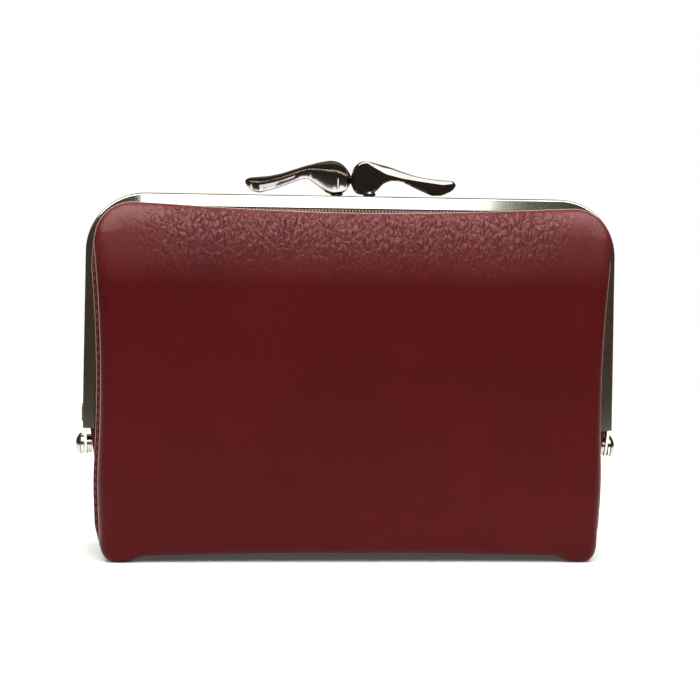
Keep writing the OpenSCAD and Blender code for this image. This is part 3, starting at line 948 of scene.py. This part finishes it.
def front_wall():
    """Front wall of the coin pocket and the cloth behind it."""
    u = columns(121)
    outer, inner = [], []
    for z in wall_heights(3.1, 44):
        half = float(wall_half(z))
        x = u * half
        free = smooth((half - np.abs(x) - 4) / 8) * smooth((WALL_TOP - z - 5) / 8)
        swell = 0.2 * (lattice_noise(x / 15 + 3, z / 14 + 8, 41) - 0.5) * free
        outer.append(np.column_stack([x, -4.8 + swell, np.full_like(x, z)]))
        pocket = (0.25 + 0.3 * lattice_noise(x / 12 + 9, z / 12, 43)) * free
        inner.append(np.column_stack([x * 0.998, -3.0 + pocket, np.full_like(x, z)]))
    leather_wall = sheet_mesh("front_wall", np.array(outer), 1.15, PANEL, SUEDE, "burgundy_leather")
    lining = sheet_mesh("front_lining", np.array(inner)[::-1], 0.45, LINING, LINING, "lining_fabric")
    return leather_wall, lining


def gusset(side, inset, thickness, outer, inner, name, slot, foot):
    """Soft pleat at the pocket's side: flat at the base, folded inwards higher up."""
    s = np.linspace(0, 1, 41)
    rows = []
    for z in np.linspace(foot, 27.5, 34):
        rim = float(wall_half(z)) - 0.2 - inset
        rear = float(rear_profile(np.array([1.0]), z, 60.0)[0]) - 0.7 - inset * 0.5
        fold = 5.2 * float(smooth((z - 3.5) / 11)) * (1 - 0.45 * float(smooth((z - 18) / 9)))
        ripple = 0.25 * np.sin(3 * math.pi * s + z * 0.25) * np.sin(math.pi * s)
        x = rim - fold * np.sin(math.pi * s) ** 1.5 - ripple
        y = -3.1 + inset * 0.4 + (rear + 3.1 - inset * 0.4) * s
        rows.append(np.column_stack([x * side, y, np.full_like(s, z)]))
    grid = np.array(rows)
    return sheet_mesh(name, grid if side > 0 else grid[:, ::-1], thickness, outer, inner, slot)


def base_core():
    """Turned-in leather that thickens the base between its skin and its board."""
    half = WALL_FOOT_HALF - 0.1
    x = np.concatenate([[-half], np.linspace(-half + 0.4, half - 0.4, 81), [half]])
    rows = []
    for k, at in enumerate(x):
        tuck = 0.4 if k in (0, len(x) - 1) else 0.0
        floor_z = float(arch_z(np.array(at))) + 0.95
        top = 3.0 - tuck
        low = floor_z + tuck
        front, rear = -11.6 + tuck, 12.6 - tuck
        section = [(front, top - 0.4), (front + 0.4, top), (rear - 0.6, top), (rear, top - 0.5),
                   (rear, low + 0.9), (rear - 1.0, low + 0.25), (10.0, low + 0.25),
                   (-9.0, low + 0.15), (front + 0.5, low + 0.2), (front, min(top - 0.5, low + 0.7))]
        rows.append([(at, y, max(z, 0.3)) for y, z in section])
    grid = np.array(rows)
    faces = capped_faces(*grid.shape[:2], caps_reversed=True)
    return weld(piece("base_core", grid, faces, [PANEL], "burgundy_leather", sharp=50), 0.001)


def base_cloth():
    """Cloth lying on the board in the base."""
    u, v = np.linspace(-1, 1, 91), np.linspace(0, 1, 21)
    x, t = np.meshgrid(u * 56.0, v, indexing="xy")
    z = 4.62 + 0.22 * (lattice_noise(x / 8 + 5, t * 3 + 2, 51) - 0.5)
    grid = np.stack([x, -2.6 + 14.6 * t, z], -1)
    return sheet_mesh("base_cloth", grid, 0.4, LINING, LINING, "lining_fabric")


# ---------------- pockets

HEM = 2.6


def pocket_panel(name, half, foot, top, face_y, facing, dip, slot, seed):
    """A thin leather pocket face with a turned top hem; facing is the side it is seen from, along Y."""
    u = np.linspace(-1, 1, 121)
    v = np.concatenate([np.linspace(0, 1, 40) * (1 - HEM / (top - foot)),
                        1 - HEM / (top - foot) * np.array([0.96, 0.9, 0.5, 0.12, 0.04, 0.0])])
    grid = []
    for t in v:
        rim = top - dip * smooth((0.62 - np.abs(u)) / 0.3)
        z = foot + (rim - foot) * t
        hem = 0.12 * (t > 1 - HEM / (top - foot) * 0.93)
        soft = 0.14 * (lattice_noise(u * 5 + seed, np.full_like(u, t * 4 + 2), seed) - 0.5)
        soft = soft * (1 - np.abs(u) ** 6)
        grid.append(np.column_stack([u * half, face_y + facing * (hem + soft - 0.12), z]))
    grid = np.array(grid)
    obj = sheet_mesh(name, grid if facing < 0 else grid[::-1], 0.3, PANEL, SUEDE, slot)
    u2 = np.linspace(-0.985, 0.985, 200)
    rim = top - dip * smooth((0.62 - np.abs(u2)) / 0.3) - HEM + 0.7
    line = np.column_stack([u2 * half, np.full_like(u2, face_y + facing * 0.02), rim])
    seam = stitches(name + "_seam", line, 2.2, 1.5, 0.11, slot, np.array([0, facing, 0]))
    return obj, seam


# ---------------- putting it together


def build_cover():
    skin = cover_skin()
    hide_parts("cover_leather", "cover_foam", "cover_board")
    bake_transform(skin)
    panel = cover_panel()
    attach(panel, "cover")
    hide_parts("cover_back_panel")
    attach(cover_bead(), "cover")
    order = outline_above(6.5)
    at = outline_at(flange_offset() * 0.55)[order]
    line = np.column_stack([at[:, 0], np.full(len(order), COVER_RIM + 0.02), at[:, 1]])
    seam = stitches("cover_edge_seam", line, 1.9, 1.35, 0.13, "burgundy_leather", np.array([0, -1, 0]))
    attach(seam, "cover")
    for name, node, top, y, seed in (("slot_upper", "card_slot_upper", 68.0, -7.72, 61),
                                     ("slot_middle", "card_slot_middle", 58.0, -7.12, 62),
                                     ("slot_lower", "card_slot_lower", 48.0, -6.52, 63)):
        obj, seam = pocket_panel(name, 48.0, 6.0, top, y, 1, 1.6, "panel_leather", seed)
        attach(obj, "cover")
        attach(seam, "cover")
        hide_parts(node)


def build_pocket():
    skin = rear_skin()
    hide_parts("base_leather", "rear_wall_leather")
    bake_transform(skin)
    core = base_core()
    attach(core, "root")
    back_cloth = rear_lining()
    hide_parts("rear_wall_lining")
    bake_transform(back_cloth)
    wall, front_cloth = front_wall()
    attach(wall, "root")
    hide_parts("front_wall_leather")
    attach(front_cloth, "root")
    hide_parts("front_wall_lining")
    cloth = base_cloth()
    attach(cloth, "root")
    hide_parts("base_lining")
    for side, word in ((1, "right"), (-1, "left")):
        pleat = gusset(side, 0.0, 0.85, BURGUNDY, SUEDE, "side_pleat_" + word, "burgundy_leather", 3.1)
        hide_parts("gusset_" + word)
        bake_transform(pleat)
        inner = gusset(side, 1.1, 0.4, LINING, LINING, "side_cloth_" + word, "lining_fabric", 4.9)
        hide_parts("gusset_lining_" + word)
        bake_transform(inner)
    bill, seam = pocket_panel("note_pocket", 54.0, 4.05, 60.0, -5.58, -1, 2.0, "panel_leather", 64)
    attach(bill, "root")
    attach(seam, "root")
    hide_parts("bill_pocket")


frame_half("front_channel", 1, 61.4, "root", "front_frame")
frame_half("rear_channel", -1, 62.2, "rear", "rear_frame")
lever("lever_right_head", LEVER_RIGHT, True, 1, "lever_right", "clasp_lever_right")
lever("lever_left_head", LEVER_LEFT, False, -1, "lever_left", "clasp_lever_left")
build_cover()
build_pocket()

CAD_LOOKS = {
    "hinge_rivet_left": RIVET, "hinge_rivet_right": RIVET, "clasp_washer_left": RIVET,
    "clasp_washer_right": RIVET, "front_crimp_cord": CORD, "rear_crimp_cord": CORD, "cover_magnets": STEEL,
    "catch_plates": STEEL, "base_board": BOARD,
}
for node_name, material in CAD_LOOKS.items():
    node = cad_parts[node_name]
    if not node.material_slots:
        node.data.materials.append(material)
    for material_slot in node.material_slots:
        material_slot.material = material

# ---------------- studio

FLOOR = (0.23, -0.17, 0.36)


def camera():
    """A little left of the front and slightly above, with the horizon turned by one degree."""
    azimuth, elevation, roll = math.radians(-5.42), math.radians(5.0), math.radians(1.02)
    distance = 450 * MM
    target = Vector((0, 0, 48.35 * MM))
    back = Vector((math.sin(azimuth) * math.cos(elevation), -math.cos(azimuth) * math.cos(elevation),
                   math.sin(elevation)))
    data = bpy.data.cameras.new("camera")
    data.sensor_width = 36
    data.lens = 36 * 1902 / 700
    data.clip_start = 0.01
    obj = bpy.data.objects.new("camera", data)
    bpy.context.scene.collection.objects.link(obj)
    right = (-back).cross(Vector((0, 0, 1))).normalized()
    up = right.cross(-back)
    rolled = right * math.cos(roll) + up * math.sin(roll), up * math.cos(roll) - right * math.sin(roll)
    rotation = Matrix((*rolled, back)).transposed()
    obj.matrix_world = Matrix.Translation(target + back * distance) @ rotation.to_4x4()
    bpy.context.scene.camera = obj


def floor():
    mesh = bpy.data.meshes.new("floor")
    x, front, back = FLOOR
    mesh.from_pydata([(-x, front, 0), (x, front, 0), (x, back, 0), (-x, back, 0)], [], [(0, 1, 2, 3)])
    obj = bpy.data.objects.new("floor", mesh)
    bpy.context.scene.collection.objects.link(obj)
    n = Nodes("floor_white")
    paper = n.noise(400, 4, 0.6)
    n.to("Base Color", n.ramp(paper, [(0.3, (0.90, 0.90, 0.90)), (0.7, (0.93, 0.93, 0.93))]))
    n.set(Roughness=0.7, Specular_IOR_Level=0.2)
    n.set(Emission_Color=(1, 1, 1, 1), Emission_Strength=0.06)
    mesh.materials.append(n.material)


def softbox(name, place, aim, size, power, seen=True):
    """An area light; one that is not seen lights surfaces but leaves no reflection in the metal."""
    data = bpy.data.lights.new(name, "AREA")
    data.shape = "RECTANGLE"
    data.size, data.size_y = size
    data.energy = power
    obj = bpy.data.objects.new(name, data)
    obj.visible_glossy = seen
    bpy.context.scene.collection.objects.link(obj)
    obj.location = place
    obj.rotation_euler = (Vector(aim) - Vector(place)).to_track_quat("-Z", "Y").to_euler()


def surroundings():
    """White where the camera looks past the object; a dark room with a bright ceiling for everything else."""
    world = bpy.data.worlds.new("studio")
    world.use_nodes = True
    bpy.context.scene.world = world
    tree = world.node_tree
    room = tree.nodes["Background"]
    white = tree.nodes.new("ShaderNodeBackground")
    white.inputs["Color"].default_value = (1, 1, 1, 1)
    place = tree.nodes.new("ShaderNodeTexCoord")
    split = tree.nodes.new("ShaderNodeSeparateXYZ")
    ramp = tree.nodes.new("ShaderNodeValToRGB")
    set_stops(ramp, [(0.0, (0.050, 0.038, 0.028)), (0.20, (0.060, 0.050, 0.038)), (0.45, (0.09, 0.09, 0.065)),
                     (0.75, (0.20, 0.20, 0.14)), (1.0, (0.26, 0.26, 0.19))])
    mix = tree.nodes.new("ShaderNodeMixShader")
    ray = tree.nodes.new("ShaderNodeLightPath")
    tree.links.new(place.outputs["Generated"], split.inputs[0])
    tree.links.new(split.outputs["Z"], ramp.inputs["Fac"])
    tree.links.new(ramp.outputs["Color"], room.inputs["Color"])
    tree.links.new(ray.outputs["Is Camera Ray"], mix.inputs["Fac"])
    tree.links.new(room.outputs["Background"], mix.inputs[1])
    tree.links.new(white.outputs["Background"], mix.inputs[2])
    tree.links.new(mix.outputs["Shader"], tree.nodes["World Output"].inputs["Surface"])


bpy.context.scene.view_settings.view_transform = "Standard"
camera()
floor()
surroundings()
softbox("overhead", (0, 0.05, 0.62), (0, 0.05, 0.05), (0.9, 0.7), 5.6, seen=False)
softbox("front_panel_high", (0, -0.302, 0.459), (0, 0, 0.085), (0.85, 0.371), 3.1)
softbox("front_panel_low", (0.022, -0.445, 0.2675), (0.022, 0, 0.085), (0.18, 0.149), 0.21)
softbox("left_lamp", (-0.46, -0.20, 0.46), (0, 0, 0.08), (0.16, 0.16), 0.35)
softbox("right_lamp", (0.46, -0.20, 0.46), (0, 0, 0.08), (0.16, 0.16), 0.35)
